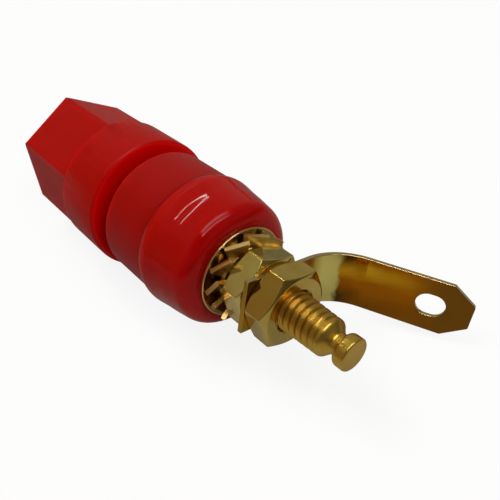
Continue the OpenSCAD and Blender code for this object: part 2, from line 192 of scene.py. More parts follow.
def moulded_red(name, red, gloss, seed, worn, sheen=0.16, painted_end_glow=False):
    """Injection-moulded red plastic: faint flow clouding, mould texture, handling scuffs and dust.
    Gloss is the roughness where it is clean, seed moves the patterns, and worn scales scuffs and dust.
    The cap's end face is painted a clearer, brighter red past its rounded edge: painted light standing in
    for light that comes through the wall."""
    material = bpy.data.materials.new(name)
    t = Tree(material)
    place = t.place()
    moved = t.mapped(place, move=(seed, SEED_SLOPE * seed, 0))
    flow = t.noise(moved, scale=190, detail=3)
    deep = [part * share for part, share in zip(red, DEEP_SHARE)]
    colour = t.mix(t.ramp(flow, *FLOW_BAND), deep, red)
    scuff = t.noise(t.mapped(moved, SCUFF_STRETCH, SCUFF_TURN), scale=1, detail=5, roughness=0.7)
    rub = t.math("MULTIPLY", t.ramp(scuff, *SCUFF_BAND), worn)
    speck = t.noise(moved, scale=2600, detail=1, roughness=0.4)
    dust = t.math("MULTIPLY", t.ramp(speck, *DUST_BAND), worn)
    marks = t.math("MULTIPLY", t.math("MAXIMUM", rub, dust), MARK_SHARE)
    colour = t.mix(marks, colour, RED_RUBBED)
    # Painted light: the cap's end face is painted a brighter red, as if lit through its wall.
    if painted_end_glow:
        colour = t.mix(t.ramp(t.station(place), *PAINTED_GLOW_STATIONS), colour, RED_PAINTED_GLOW)
    grain = t.noise(moved, scale=5200, detail=2)
    wave = t.noise(moved, scale=420, detail=2)
    polish = t.ramp(wave, *WAVE_BAND, gloss - GLOSS_BELOW, gloss + GLOSS_ABOVE)
    rough = t.math("ADD", polish, t.math("MULTIPLY", rub, SCUFF_ROUGHNESS))
    fine = t.math("MULTIPLY", grain, FINE_SHARE * worn)
    broad = t.math("MULTIPLY", wave, BROAD_SHARE + BROAD_WORN_SHARE * worn)
    normal = t.bump(t.math("ADD", fine, broad), RED_RELIEF, RED_RELIEF_DEPTH)
    shader = t.node("BsdfPrincipled", {"Base Color": colour, "Roughness": rough, "Normal": normal,
                                       "IOR": RED_IOR, "Specular IOR Level": sheen,
                                       "Subsurface Weight": 1.0, "Subsurface Radius": SCATTER_COLOURS,
                                       "Subsurface Scale": SCATTER_DEPTH})
    t.finish(shader.outputs["BSDF"])
    return material


# Gold plate

GOLD = (0.80, 0.60, 0.17, 1)
GOLD_WARM = (0.70, 0.46, 0.09, 1)
# Inner nut: a paler copy of the nuts' gold plate, painted light.
INNER_PALE = (0.92, 0.77, 0.30, 1)
INNER_WARM = (0.82, 0.62, 0.18, 1)
TURNED_PALE = (0.84, 0.56, 0.11, 1)
TURNED_WARM = (0.75, 0.45, 0.07, 1)
# Flat washer: a darker copy of the gold plate as painted shade on its face, and a painted highlight on its
# outer edge.
WASHER_SHADED_PALE = (0.50, 0.34, 0.11, 1)
WASHER_SHADED_WARM = (0.36, 0.21, 0.06, 1)
WASHER_PAINTED_HIGHLIGHT = (0.86, 0.65, 0.29, 1)
WASHER_HIGHLIGHT_RADII = (4.60 * MM, 4.68 * MM)
# Lock washer: a paler copy of the gold plate, painted light that brightens its teeth.
STAR_PALE = (0.88, 0.69, 0.29, 1)
STAR_WARM = (0.80, 0.56, 0.19, 1)
# Painted shade in the stud's thread roots.
ROOT_SHADE_BROWN = (0.56, 0.30, 0.03, 1)
ROOT_RADIUS = (1.77 * MM, 1.69 * MM)
ROOTS_END = (18.25 * MM, 18.05 * MM)
EVEN_GRAIN = (900, 900, 900)
TURNED_LINES = (60, 7000, 60)
BUSH_LINES = (300, 3000, 300)
TARNISH_BAND = (0.35, 0.7)
DULL_BAND = (0.3, 0.7)
LINES_BAND = (0.5, 0.8)
LINES_ROUGHNESS = 0.05
PITS_BAND = (0.2, 0.45)
PITS_SHARE = 0.6
PLATE_RELIEF_DEPTH = 0.02 * MM


def plated_metal(t, colour, rough, normal):
    """Ends a tree as bare metal."""
    shader = t.node("BsdfPrincipled", {"Base Color": colour, "Metallic": 1.0, "Roughness": rough,
                                       "Normal": normal})
    t.finish(shader.outputs["BSDF"])


def gold_plate(name, dullness, grain, relief=0.18, pale=GOLD, warm=GOLD_WARM,
               painted_edge_highlight=False, shaded_roots=False):
    """Thin gold plate on brass: warm cloudy tarnish, fine drawn lines by the grain's scale, small pits.
    Dullness is the roughness where the plate is pale and where it is tarnished. On a washer the outer edge
    is painted brighter as a highlight; the stud's thread roots are painted a darker brown as shade."""
    material = bpy.data.materials.new(name)
    t = Tree(material)
    place = t.place()
    tarnish = t.noise(place, scale=330, detail=4, roughness=0.6)
    colour = t.mix(t.ramp(tarnish, *TARNISH_BAND), pale, warm)
    # Painted shade: the thread's roots are darkened brown where shade falls in the grooves.
    if shaded_roots:
        root = t.ramp(t.from_axis(place), *ROOT_RADIUS)
        root = t.math("MULTIPLY", root, t.ramp(t.station(place), *ROOTS_END))
        colour = t.mix(root, colour, ROOT_SHADE_BROWN)
    # Painted highlight: the washer's outer edge is brighter.
    if painted_edge_highlight:
        colour = t.mix(t.ramp(t.from_axis(place), *WASHER_HIGHLIGHT_RADII), colour, WASHER_PAINTED_HIGHLIGHT)
    lines = t.noise(t.mapped(place, grain), scale=1, detail=3, roughness=0.6)
    pits = t.noise(place, scale=4200, detail=3, roughness=0.7)
    dull = t.ramp(tarnish, *DULL_BAND, *dullness)
    rough = t.math("ADD", dull, t.math("MULTIPLY", t.ramp(lines, *LINES_BAND), LINES_ROUGHNESS))
    height = t.math("ADD", lines, t.math("MULTIPLY", t.ramp(pits, *PITS_BAND), PITS_SHARE))
    plated_metal(t, colour, rough, t.bump(height, relief, PLATE_RELIEF_DEPTH))
    return material


# Plating of the solder tag, with painted reflections and shade

# Tag colours, mostly painted light: pale and amber stand in for what the tag reflects, the streak is a
# painted highlight, the tip colour is painted shade and also random brown grain.
TAG_PALE_REFLECTION = (0.99, 0.86, 0.27, 1)
TAG_AMBER = (0.58, 0.185, 0.004, 1)
TAG_GOLD = (0.60, 0.36, 0.05, 1)
TAG_HIGHLIGHT_STREAK = (0.98, 0.52, 0.02, 1)
TAG_TIP = (0.31, 0.13, 0.015, 1)
TAG_EDGE = (0.68, 0.52, 0.25, 1)
TAG_DARK_PATCH = (0.10, 0.06, 0.012, 1)
TAG_ACROSS = (-0.342, 0.0, 0.940)
TAG_OUT = (-0.940, 0.0, -0.342)
BANDS_DRIFT = 1.2 * MM
STREAK_LOWER = (0.2 * MM, 1.3 * MM)
STREAK_UPPER = (2.6 * MM, 1.9 * MM)
STREAK_ENDS = (20.5 * MM, 15.0 * MM)
DARK_SIDE = (-0.2 * MM, -2.6 * MM)
DARK_SIDE_SHARE = 0.6
TIP_STARTS = (18.5 * MM, 21.5 * MM)
DARK_PATCH_LOWER = (-0.5 * MM, -1.7 * MM)
DARK_PATCH_UPPER = (0.9 * MM, 2.3 * MM)
DARK_PATCH_UPPER_SHARE = 0.6
DARK_PATCH_STARTS = (14.2 * MM, 13.1 * MM)
DARK_PATCH_SHARE = 0.95
BROWN_GRAIN = (0.45, 0.75)
BROWN_GRAIN_SHARE = 0.25
PALE_STARTS = (13.0 * MM, 12.7 * MM)
GOLD_STARTS = (5.8 * MM, 4.5 * MM)
EDGE_FACING = (0.2, 0.6)
TAG_GRAIN_STRETCH = (500, 160, 2600)
TAG_GRAIN_TURN = (0.0, 0.35, 0.0)
TAG_ROUGHNESS = (0.14, 0.20)
TAG_GRAIN_BAND = (0.4, 0.8)
TAG_GRAIN_ROUGHNESS = 0.05
TAG_CLOUD_SHARE = 0.6
TAG_RELIEF = 0.06


def tag_plate(name):
    """Plating of the tag, with reflections and shade painted into its colour: a pale painted reflection by
    the nut, amber along the arm as a painted dark reflection, a lighter streak near its upper edge as a
    painted highlight, painted shade along its lower side and brown at the tip, darker patches near the
    bend, pale on the cut edges. Bands run along Y and across the arm."""
    material = bpy.data.materials.new(name)
    t = Tree(material)
    place = t.place()
    cloud = t.noise(place, scale=420, detail=4, roughness=0.6)
    grain = t.noise(t.mapped(place, TAG_GRAIN_STRETCH, TAG_GRAIN_TURN), scale=1, detail=4, roughness=0.65)
    drift = t.math("MULTIPLY", t.math("SUBTRACT", cloud, NOISE_MIDDLE), BANDS_DRIFT)
    along = t.math("ADD", t.station(place), drift)
    across = t.math("ADD", t.dot(place, TAG_ACROSS), drift)

    # Painted shade along the arm's lower side, over an amber that is a painted dark reflection.
    dark_side = t.math("MULTIPLY", t.ramp(across, *DARK_SIDE), DARK_SIDE_SHARE)
    colour = t.mix(dark_side, TAG_AMBER, TAG_TIP)
    # Painted highlight: a lighter streak near the arm's upper edge.
    highlight_streak = t.math("MULTIPLY", t.ramp(across, *STREAK_LOWER), t.ramp(across, *STREAK_UPPER))
    highlight_streak = t.math("MULTIPLY", highlight_streak, t.ramp(along, *STREAK_ENDS))
    colour = t.mix(highlight_streak, colour, TAG_HIGHLIGHT_STREAK)
    # Painted shade: brown towards the tip.
    colour = t.mix(t.ramp(along, *TIP_STARTS), colour, TAG_TIP)

    # Darker patches across the arm near the bend.
    dark_patch_upper = t.ramp(across, *DARK_PATCH_UPPER, 0.0, DARK_PATCH_UPPER_SHARE)
    dark_patch = t.math("MAXIMUM", t.ramp(across, *DARK_PATCH_LOWER), dark_patch_upper)
    dark_patch = t.math("MULTIPLY", t.ramp(along, *DARK_PATCH_STARTS), dark_patch)
    colour = t.mix(t.math("MULTIPLY", dark_patch, DARK_PATCH_SHARE), colour, TAG_DARK_PATCH)
    brown = t.math("MULTIPLY", t.ramp(grain, *BROWN_GRAIN), BROWN_GRAIN_SHARE)
    colour = t.mix(brown, colour, TAG_TIP)

    # Painted reflection: pale by the nut.
    colour = t.mix(t.ramp(along, *PALE_STARTS), colour, TAG_PALE_REFLECTION)
    colour = t.mix(t.ramp(t.dot(place, TAG_OUT), *GOLD_STARTS), colour, TAG_GOLD)
    facing = t.dot(t.node("NewGeometry").outputs["Normal"], TAG_ACROSS)
    colour = t.mix(t.ramp(t.math("ABSOLUTE", facing), *EDGE_FACING), colour, TAG_EDGE)

    dull = t.ramp(cloud, *DULL_BAND, *TAG_ROUGHNESS)
    rough = t.math("ADD", dull, t.math("MULTIPLY", t.ramp(grain, *TAG_GRAIN_BAND), TAG_GRAIN_ROUGHNESS))
    height = t.math("ADD", grain, t.math("MULTIPLY", cloud, TAG_CLOUD_SHARE))
    plated_metal(t, colour, rough, t.bump(height, TAG_RELIEF, PLATE_RELIEF_DEPTH))
    return material


# Finishes

# The cap gets painted light on its end face.
cap_red = moulded_red("cap_red", CAP_RED, gloss=0.31, seed=0.83, worn=0.25, painted_end_glow=True)
front_red = moulded_red("front_insulator_red", FRONT_RED, gloss=0.32, seed=0.31, worn=0.8)
rear_red = moulded_red("rear_insulator_red", REAR_RED, gloss=0.045, seed=0.57, worn=0.1, sheen=0.24)
plated = gold_plate("gold_plate", dullness=(0.10, 0.17), grain=EVEN_GRAIN, relief=0.10)
# Inner nut: paler copy of the plate as painted light.
plated_inner = gold_plate("gold_inner_nut", dullness=(0.10, 0.17), grain=EVEN_GRAIN, relief=0.10,
                          pale=INNER_PALE, warm=INNER_WARM)
plated_turned = gold_plate("gold_turned", dullness=(0.28, 0.29), grain=TURNED_LINES, relief=0.02,
                           pale=TURNED_PALE, warm=TURNED_WARM, shaded_roots=True)
# Flat washer: painted shade on its face, painted highlight on its outer edge.
plated_washer = gold_plate("gold_washer", dullness=(0.12, 0.2), grain=EVEN_GRAIN,
                           pale=WASHER_SHADED_PALE, warm=WASHER_SHADED_WARM, painted_edge_highlight=True)
# Lock washer: paler copy of the plate as painted light.
plated_star = gold_plate("gold_star", dullness=(0.28, 0.31), grain=EVEN_GRAIN, relief=0.10,
                         pale=STAR_PALE, warm=STAR_WARM)
plated_tag = tag_plate("gold_tag")
bush_brass = gold_plate("bush_brass", dullness=(0.30, 0.36), grain=BUSH_LINES)


# Pieces that stay as packed

WELD_DISTANCE = 2e-6
BEVEL_SEGMENTS = 3


def dress(name, material):
    """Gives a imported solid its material."""
    mesh = nodes[name].data
    mesh.materials.clear()
    mesh.materials.append(material)


def soften_edges(name, width, angle):
    """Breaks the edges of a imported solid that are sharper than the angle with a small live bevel."""
    node = nodes[name]
    weld = node.modifiers.new("joined", "WELD")
    weld.merge_threshold = WELD_DISTANCE
    bevel = node.modifiers.new("broken_edge", "BEVEL")
    bevel.width = width
    bevel.segments = BEVEL_SEGMENTS
    bevel.limit_method = "ANGLE"
    bevel.angle_limit = np.radians(angle)
    bevel.harden_normals = True


dress("cap", cap_red)
dress("front_insulator", front_red)
dress("star_washer", plated_star)
dress("flat_washer", plated_washer)
dress("solder_tag", plated_tag)
dress("cap_insert", bush_brass)
soften_edges("star_washer", 0.14 * MM, angle=28)
soften_edges("flat_washer", 0.08 * MM, angle=28)
soften_edges("solder_tag", 0.08 * MM, angle=28)
soften_edges("cap", 0.10 * MM, angle=50)


# Lathe work

MERGE_DISTANCE = 1e-7
DEGENERATE_LENGTH = 1e-8


def arc(centre, radius, start, end, count):
    """Points (r, y) on a circle about the centre, angles in degrees from the r axis towards +y."""
    angle = np.radians(np.linspace(start, end, count))
    return np.stack([centre[0] + radius * np.cos(angle), centre[1] + radius * np.sin(angle)], axis=1)


def run(start, end, count):
    """Evenly spaced points (r, y) on a straight line, ends included."""
    return np.linspace(start, end, count)


def grow(value, low, high):
    """Smooth rise from 0 to 1 between two stations."""
    share = np.clip((value - low) / (high - low), 0.0, 1.0)
    return share * share * (3 - 2 * share)


def even_angles(columns):
    """One row of angles, evenly spaced once round."""
    return np.arange(columns)[None, :] * FULL_TURN / columns


def about_axis(radius, y, angle):
    """Points (radius cos angle, y, radius sin angle) about the jack's axis, one row for each station y."""
    x = radius * np.cos(angle)
    return np.stack([x, np.broadcast_to(y, x.shape), radius * np.sin(angle)], axis=-1)


def grid_mesh(name, points):
    """Mesh of a grid of points in millimetres that closes on itself in its second direction. Its first and
    last row are poles or the same row twice, which merging closes."""
    rows, columns = points.shape[:2]
    index = np.arange(rows * columns).reshape(rows, columns)
    ahead = np.roll(index, -1, axis=1)
    faces = np.stack([index[:-1], index[1:], ahead[1:], ahead[:-1]], axis=-1).reshape(-1, 4)
    mesh = bpy.data.meshes.new(name)
    mesh.from_pydata((points * MM).reshape(-1, 3), [], faces)
    made = bpy.data.objects.new(name, mesh)
    scene.collection.objects.link(made)
    return made


def merge_and_smooth(made, angle):
    """Closes poles and seams, turns faces outwards and marks edges sharper than the angle."""
    work = bmesh.new()
    work.from_mesh(made.data)
    bmesh.ops.remove_doubles(work, verts=work.verts, dist=MERGE_DISTANCE)
    bmesh.ops.dissolve_degenerate(work, edges=work.edges, dist=DEGENERATE_LENGTH)
    bmesh.ops.recalc_face_normals(work, faces=work.faces)
    work.to_mesh(made.data)
    work.free()
    made.data.polygons.foreach_set("use_smooth", np.ones(len(made.data.polygons), bool))
    made.data.set_sharp_from_angle(angle=np.radians(angle))


# Post turned with real threads

POST_COLUMNS = 192
POST_SHARP = 60
POST_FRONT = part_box("post")[0].y / MM
POST_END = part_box("post")[1].y / MM
OUTER_NUT_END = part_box("outer_nut")[1].y / MM
SOCKET_R = 2.0
SOCKET_FLOOR = -10.2
SOCKET_CHAMFER = 0.4
BARREL_R = 3.5
BARREL_CHAMFER = 0.5
BARREL_PITCH = 0.75
BARREL_DEPTH = 0.36
BARREL_GROOVE = (0.40, 0.05)
BARREL_RUN_IN = (POST_FRONT + 0.5, POST_FRONT + 1.2)
BARREL_RUN_OUT = (-11.1, -10.45)
BARREL_WALL_R = 3.2
NECK_R = 3.05
NECK_FRONT = -9.9
NECK_LEAD_END = NECK_FRONT + 0.1
NECK_ROWS_START = NECK_FRONT + 0.3
BARREL_END = NECK_FRONT - 0.5
CORNER = 0.05
COLLAR_R = 5.0
COLLAR_FRONT = -7.1
COLLAR_BACK = COLLAR_FRONT + 1.6
COLLAR_ROUND = 0.2
COLLAR_EDGE = 0.06
COLLAR_SEAT_R = 4.1
KEY_HALF = 3.5
KEY_FRONT = COLLAR_FRONT + 1.65
KEY_BACK = COLLAR_FRONT + 3.55
KEY_SPAN = (-5.48, -3.52)
KEY_SIDES = 6
KEY_ROW_R = 3.6
SHANK_R = 2.5
SHANK_START = COLLAR_FRONT + 3.6
SHANK_END = 2.0
STUD_R = 1.975
STUD_END_R = 1.83
STUD_START = 2.3
STUD_PITCH = 0.7
STUD_DEPTH = 0.28
STUD_GROOVE = (0.30, 0.05)
SEAM_DEPTH = 0.07
SEAM_GROOVE = (0.13, 0.0)
BUTTON_R = 1.57
BUTTON_T = 1.3
BUTTON_BACK_R = 0.45
BUTTON_FRONT_R = 0.2
BUTTON_FACE_R = 0.9
BUTTON_Y = POST_END - BUTTON_T
SOLDER_NECK_R = 1.04
SOLDER_NECK_LEN = 0.65
SOLDER_NECK_FILLET = 0.03
STEP_Y = BUTTON_Y - SOLDER_NECK_LEN
SOLDER_NECK_FRONT = STEP_Y + 0.06
SOLDER_NECK_BACK = BUTTON_Y - 0.04
NOSE_LEN = 0.84
NOSE_EDGE = 0.4
NOSE_Y = STEP_Y - NOSE_LEN
NOSE_CONE_LOW = (STUD_END_R - NOSE_EDGE * 0.31, NOSE_Y + NOSE_EDGE * 0.73)
NOSE_CONE_HIGH = (SOLDER_NECK_R + 0.14, STEP_Y - 0.06)
STUD_RUN_IN = (OUTER_NUT_END - 0.6, OUTER_NUT_END - 0.3)
STUD_RUN_OUT = (NOSE_Y - 0.35, NOSE_Y - 0.12)
STUD_WORN = (OUTER_NUT_END + 1.8, NOSE_Y - 0.1)
STUD_WORN_SHARE = 0.5
STUD_FINE_START = OUTER_NUT_END - 0.55
STUD_FINE_END = NOSE_Y - 0.02
WIRE_HOLE_R = 1.2
WIRE_HOLE_Y = -8.5
WIRE_HOLE_REACH = 4
WIRE_HOLE_COLUMNS = 48
WIRE_HOLE_PHASE = 0.37
WIRE_HOLE_SHARP = 40


def post_profile():
    """Half outline of the post: from the socket's floor, round the mouth, along the outside to the end
    button. Runs meet over short steps, which give soft corners."""
    parts = [
        # Socket
        [(0, SOCKET_FLOOR)],
        run((SOCKET_R, SOCKET_FLOOR), (SOCKET_R, POST_FRONT + SOCKET_CHAMFER), 3),
        # Barrel
        run((SOCKET_R + SOCKET_CHAMFER, POST_FRONT), (BARREL_R - BARREL_CHAMFER, POST_FRONT), 2),
        run((BARREL_R, POST_FRONT + BARREL_CHAMFER), (BARREL_R, BARREL_END), 170),
        # Wire neck
        run((NECK_R, NECK_FRONT - CORNER), (NECK_R, NECK_LEAD_END), 3),
        run((NECK_R, NECK_ROWS_START), (NECK_R, COLLAR_FRONT - CORNER), 14),
        # Collar
        [(NECK_R + CORNER, COLLAR_FRONT), (COLLAR_R - COLLAR_ROUND - COLLAR_EDGE, COLLAR_FRONT)],
        arc((COLLAR_R - COLLAR_ROUND, COLLAR_FRONT + COLLAR_ROUND), COLLAR_ROUND, -90, 0, 6),
        [(COLLAR_R, COLLAR_BACK - COLLAR_EDGE), (COLLAR_R - COLLAR_EDGE, COLLAR_BACK)],
        [(COLLAR_SEAT_R, COLLAR_BACK)],
        # Key, whose rows become a hexagon, and shank
        run((KEY_ROW_R, KEY_FRONT), (KEY_ROW_R, KEY_BACK), 3),
        run((SHANK_R, SHANK_START), (SHANK_R, SHANK_END), 4),
        # Stud, plain under the nuts and fine rows where its thread is cut
        run((STUD_R, STUD_START), (STUD_R, STUD_RUN_IN[0]), 6),
        run((STUD_R, STUD_FINE_START), (STUD_END_R, STUD_FINE_END), 220),
        # Nose
        arc((STUD_END_R - NOSE_EDGE, NOSE_Y), NOSE_EDGE, 2, 44, 9),
        run(NOSE_CONE_LOW, NOSE_CONE_HIGH, 4),
        # Solder neck
        [(SOLDER_NECK_R + CORNER, STEP_Y)],
        run((SOLDER_NECK_R, SOLDER_NECK_FRONT), (SOLDER_NECK_R, SOLDER_NECK_BACK), 3),
        [(SOLDER_NECK_R + SOLDER_NECK_FILLET, BUTTON_Y)],
        # End button
        arc((BUTTON_R - BUTTON_BACK_R, BUTTON_Y + BUTTON_BACK_R), BUTTON_BACK_R, -90, 0, 10),
        arc((BUTTON_R - BUTTON_FRONT_R, POST_END - BUTTON_FRONT_R), BUTTON_FRONT_R, 0, 90, 8),
        [(BUTTON_FACE_R, POST_END), (0, POST_END)],
    ]
    return np.concatenate([np.asarray(part, float).reshape(-1, 2) for part in parts])


def thread_cut(turn, mouth, root):
    """Depth share of a thread at a phase of one turn: 0 on the crest, 1 in the root, an eased flank
    between. Mouth and root are half widths in turns."""
    away = np.abs((turn + 0.5) % 1.0 - 0.5)
    return grow(-away, -mouth, -root)


def turned_post():
    """Post as a lathe grid: radius = outline, less the thread's cut at phase y / pitch + angle / turn and
    the shallow seam that rolling leaves on the stud's crest half a turn on. On the key the radius is a
    hexagon's, flat distance over the cosine of the angle from the nearest flat."""
    outline = post_profile()
    r = outline[:, :1]
    y = outline[:, 1:]
    angle = even_angles(POST_COLUMNS)
    turned = angle / FULL_TURN
    on_barrel = grow(y, *BARREL_RUN_IN) * (1 - grow(y, *BARREL_RUN_OUT)) * (r > BARREL_WALL_R)
    barrel = thread_cut(y / BARREL_PITCH + turned, *BARREL_GROOVE) * BARREL_DEPTH * on_barrel
    turn = y / STUD_PITCH + turned
    groove = thread_cut(turn, *STUD_GROOVE) * STUD_DEPTH
    seam = thread_cut(turn + 0.5, *SEAM_GROOVE) * SEAM_DEPTH
    worn = 1 - STUD_WORN_SHARE * grow(y, *STUD_WORN)
    on_stud = grow(y, *STUD_RUN_IN) * (1 - grow(y, *STUD_RUN_OUT))
    stud = (groove + seam) * worn * on_stud
    on_key = (y > KEY_SPAN[0]) & (y < KEY_SPAN[1])
    half_side = FULL_TURN / KEY_SIDES / 2
    off_flat = (angle + half_side) % (2 * half_side) - half_side
    radius = np.where(on_key, KEY_HALF / np.cos(off_flat), r - barrel - stud)
    made = grid_mesh("post_turned", about_axis(radius, y, angle))
    merge_and_smooth(made, POST_SHARP)
    return made


def wire_hole_cutter():
    """Plain cylinder along X through the neck: circle of the wire hole carried along a straight path. The
    circle is turned by part of a column, so that its edges miss those of the neck."""
    angle = (np.arange(WIRE_HOLE_COLUMNS)[None, :] + WIRE_HOLE_PHASE) * FULL_TURN / WIRE_HOLE_COLUMNS
    radius = np.array([0, WIRE_HOLE_R, WIRE_HOLE_R, 0])[:, None]
    x = np.array([-WIRE_HOLE_REACH, -WIRE_HOLE_REACH, WIRE_HOLE_REACH, WIRE_HOLE_REACH], float)[:, None]
    y = WIRE_HOLE_Y + radius * np.cos(angle)
    z = radius * np.sin(angle)
    made = grid_mesh("wire_hole", np.stack([np.broadcast_to(x, y.shape), y, z], axis=-1))
    merge_and_smooth(made, WIRE_HOLE_SHARP)
    return made


def bore_wire_hole(made):
    """Cuts the wire hole through the neck and keeps the result as the piece's own mesh."""
    cutter = wire_hole_cutter()
    cut = made.modifiers.new("wire_hole", "BOOLEAN")
    cut.operation = "DIFFERENCE"
    cut.solver = "EXACT"
    cut.object = cutter
    bpy.context.view_layer.update()
    graph = bpy.context.evaluated_depsgraph_get()
    bored = bpy.data.meshes.new_from_object(made.evaluated_get(graph))
    made.modifiers.clear()
    made.data = bored
    bored.set_sharp_from_angle(angle=np.radians(POST_SHARP))
    bpy.data.objects.remove(cutter)


post = turned_post()
bore_wire_hole(post)
post.data.materials.clear()
post.data.materials.append(plated_turned)
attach(post, "base")
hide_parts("post")


# Rear insulator moulded in one piece

REAR_COLUMNS = 192
REAR_SHARP = 35
REAR_R = 7.27
REAR_ROLL_R = 2.0
REAR_STEP = 0.24
REAR_TAPER = 9.4
REAR_END_R = 1.75
REAR_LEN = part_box("rear_insulator")[1].y / MM
REAR_FACE_R = 3.6
REAR_BORE_R = 2.035
REAR_RECESS_R = 4.1
REAR_RECESS_LEN = 2.8
REAR_SEAT_R = 5.5
REAR_END_Y = REAR_LEN - REAR_END_R
WAIST_RISE = 0.053
WAIST_STARTS = (2.4, 4.0)
WAIST_ENDS = (REAR_END_Y + 0.5, REAR_LEN - 0.2)


def rear_outline():
    """Ring outline (r, y): rolled edge and end as arcs joined by the cone, which swells a little past
    its waist, then end face, bore, recess and seat, back to the start."""
    lip = REAR_ROLL_R - REAR_STEP
    roll_y = np.sqrt(REAR_ROLL_R ** 2 - lip ** 2)
    roll_x = REAR_R - REAR_ROLL_R
    roll_start = -np.degrees(np.arcsin(roll_y / REAR_ROLL_R))
    taper = np.radians(REAR_TAPER)
    narrowing = (REAR_END_Y - roll_y) * np.sin(taper)
    end_x = roll_x + (REAR_ROLL_R - REAR_END_R - narrowing) / np.cos(taper)
    roll = arc((roll_x, roll_y), REAR_ROLL_R, roll_start, REAR_TAPER, 24)
    end = arc((end_x, REAR_END_Y), REAR_END_R, REAR_TAPER, 90, 40)
    cone = run(roll[-1], end[0], 60)[1:-1]
    side = np.concatenate([roll, cone, end])
    y = side[:, 1]
    side[:, 0] += WAIST_RISE * (grow(y, *WAIST_STARTS) * (1 - grow(y, *WAIST_ENDS)))
    inside = [(REAR_FACE_R, REAR_LEN), (REAR_BORE_R, REAR_LEN), (REAR_BORE_R, REAR_RECESS_LEN),
              (REAR_RECESS_R, REAR_RECESS_LEN), (REAR_RECESS_R, 0.0), (REAR_SEAT_R, 0.0)]
    return np.concatenate([side, inside, side[:1]])


def moulded_rear():
    """Rear insulator as a lathe grid: the ring outline carried once round the axis."""
    outline = rear_outline()
    points = about_axis(outline[:, :1], outline[:, 1:], even_angles(REAR_COLUMNS))
    made = grid_mesh("rear_insulator_moulded", points)
    merge_and_smooth(made, REAR_SHARP)
    made.data.materials.append(rear_red)
    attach(made, "base")
    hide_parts("rear_insulator")


moulded_rear()


# Nuts with rolled edges

NUT_SHARP = 35
NUT_SIDES = 6
NUT_SIDE_ANGLE = 60.0
NUT_HALF = 3.5
NUT_H = 2.62
NUT_FACE_R = 3.29
NUT_STEEP = np.tan(np.radians(30))
NUT_BORE_R = 2.035
NUT_SINK = 0.2
NUT_EASE = 0.09
NUT_FACE_EASE = 0.04
NUT_FACE_ROWS = np.array([NUT_BORE_R + NUT_SINK, 2.6, 3.0, 3.14, 3.2, 3.24, 3.28, 3.32])
NUT_CHAMFER_ROWS = np.concatenate([np.linspace(0.04, 0.52, 22), [0.7]])
NUT_SECTOR = np.array([0, 2.5, 5, 8, 11, 14, 17, 19.5, 21.5, 23.3, 25, 26.2, 27.2,
                       28, 28.6, 29.1, 29.5, 29.8])


def soft_min(a, b, ease):
    """Smaller of two lengths, the crossing rounded over the ease."""
    share = np.clip(0.5 + 0.5 * (b - a) / ease, 0.0, 1.0)
    return b + (a - b) * share - ease * share * (1 - share)


def rolled_nut(name, stands_for, corner, material):
    """Hexagon nut as a grid closed both ways: radius = soft minimum of the two nearest flats and of the
    chamfer cone at each end. Rows run over one face, the side and the other face, back through the bore.
    Columns are angles off each flat's middle, closer towards the corners."""
    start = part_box(stands_for)[0].y / MM
    half_side = NUT_SIDE_ANGLE / 2
    off = np.concatenate([-NUT_SECTOR[:0:-1], NUT_SECTOR, [half_side]])
    sides = [off + corner + half_side + NUT_SIDE_ANGLE * k for k in range(NUT_SIDES)]
    angle = np.radians(np.concatenate(sides))[None, :]
    off = np.radians(np.tile(off, NUT_SIDES))[None, :]
    nearest = NUT_HALF / np.cos(off)
    next_flat = NUT_HALF / np.cos(np.radians(NUT_SIDE_ANGLE) - np.abs(off))
    flats = soft_min(nearest, next_flat, NUT_EASE)
    face_r = np.broadcast_to(NUT_FACE_ROWS[:, None], (len(NUT_FACE_ROWS), angle.size))
    cone = (NUT_FACE_R - NUT_FACE_ROWS) * NUT_STEEP
    face_y = -soft_min(np.zeros_like(cone), cone, NUT_FACE_EASE)
    side_r = soft_min(flats, NUT_FACE_R + NUT_CHAMFER_ROWS[:, None] / NUT_STEEP, NUT_EASE)
    half_r = np.concatenate([face_r, side_r])
    half_y = np.concatenate([face_y, NUT_CHAMFER_ROWS])
    bore_r = np.full((2, angle.size), NUT_BORE_R)
    bore_y = [NUT_H - NUT_SINK, NUT_SINK]
    radius = np.concatenate([half_r, half_r[::-1], bore_r, half_r[:1]])
    y = np.concatenate([half_y, NUT_H - half_y[::-1], bore_y, half_y[:1]])[:, None] + start
    made = grid_mesh(name, about_axis(radius, y, angle))
    merge_and_smooth(made, NUT_SHARP)
    made.data.materials.append(material)
    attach(made, "base")
    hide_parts(stands_for)


rolled_nut("inner_nut_rolled", "inner_nut", corner=30.3, material=plated_inner)
rolled_nut("outer_nut_rolled", "outer_nut", corner=24.6, material=plated)


# Floor and room

FLOOR_Z = solid_box[0].z
FLOOR_HALF = 3.0
FLOOR_CORNERS = ((-1, -1), (1, -1), (1, 1), (-1, 1))
FLOOR_SEEN = (0.92, 0.92, 0.92, 1)
FLOOR_LIT = (0.42, 0.42, 0.42, 1)
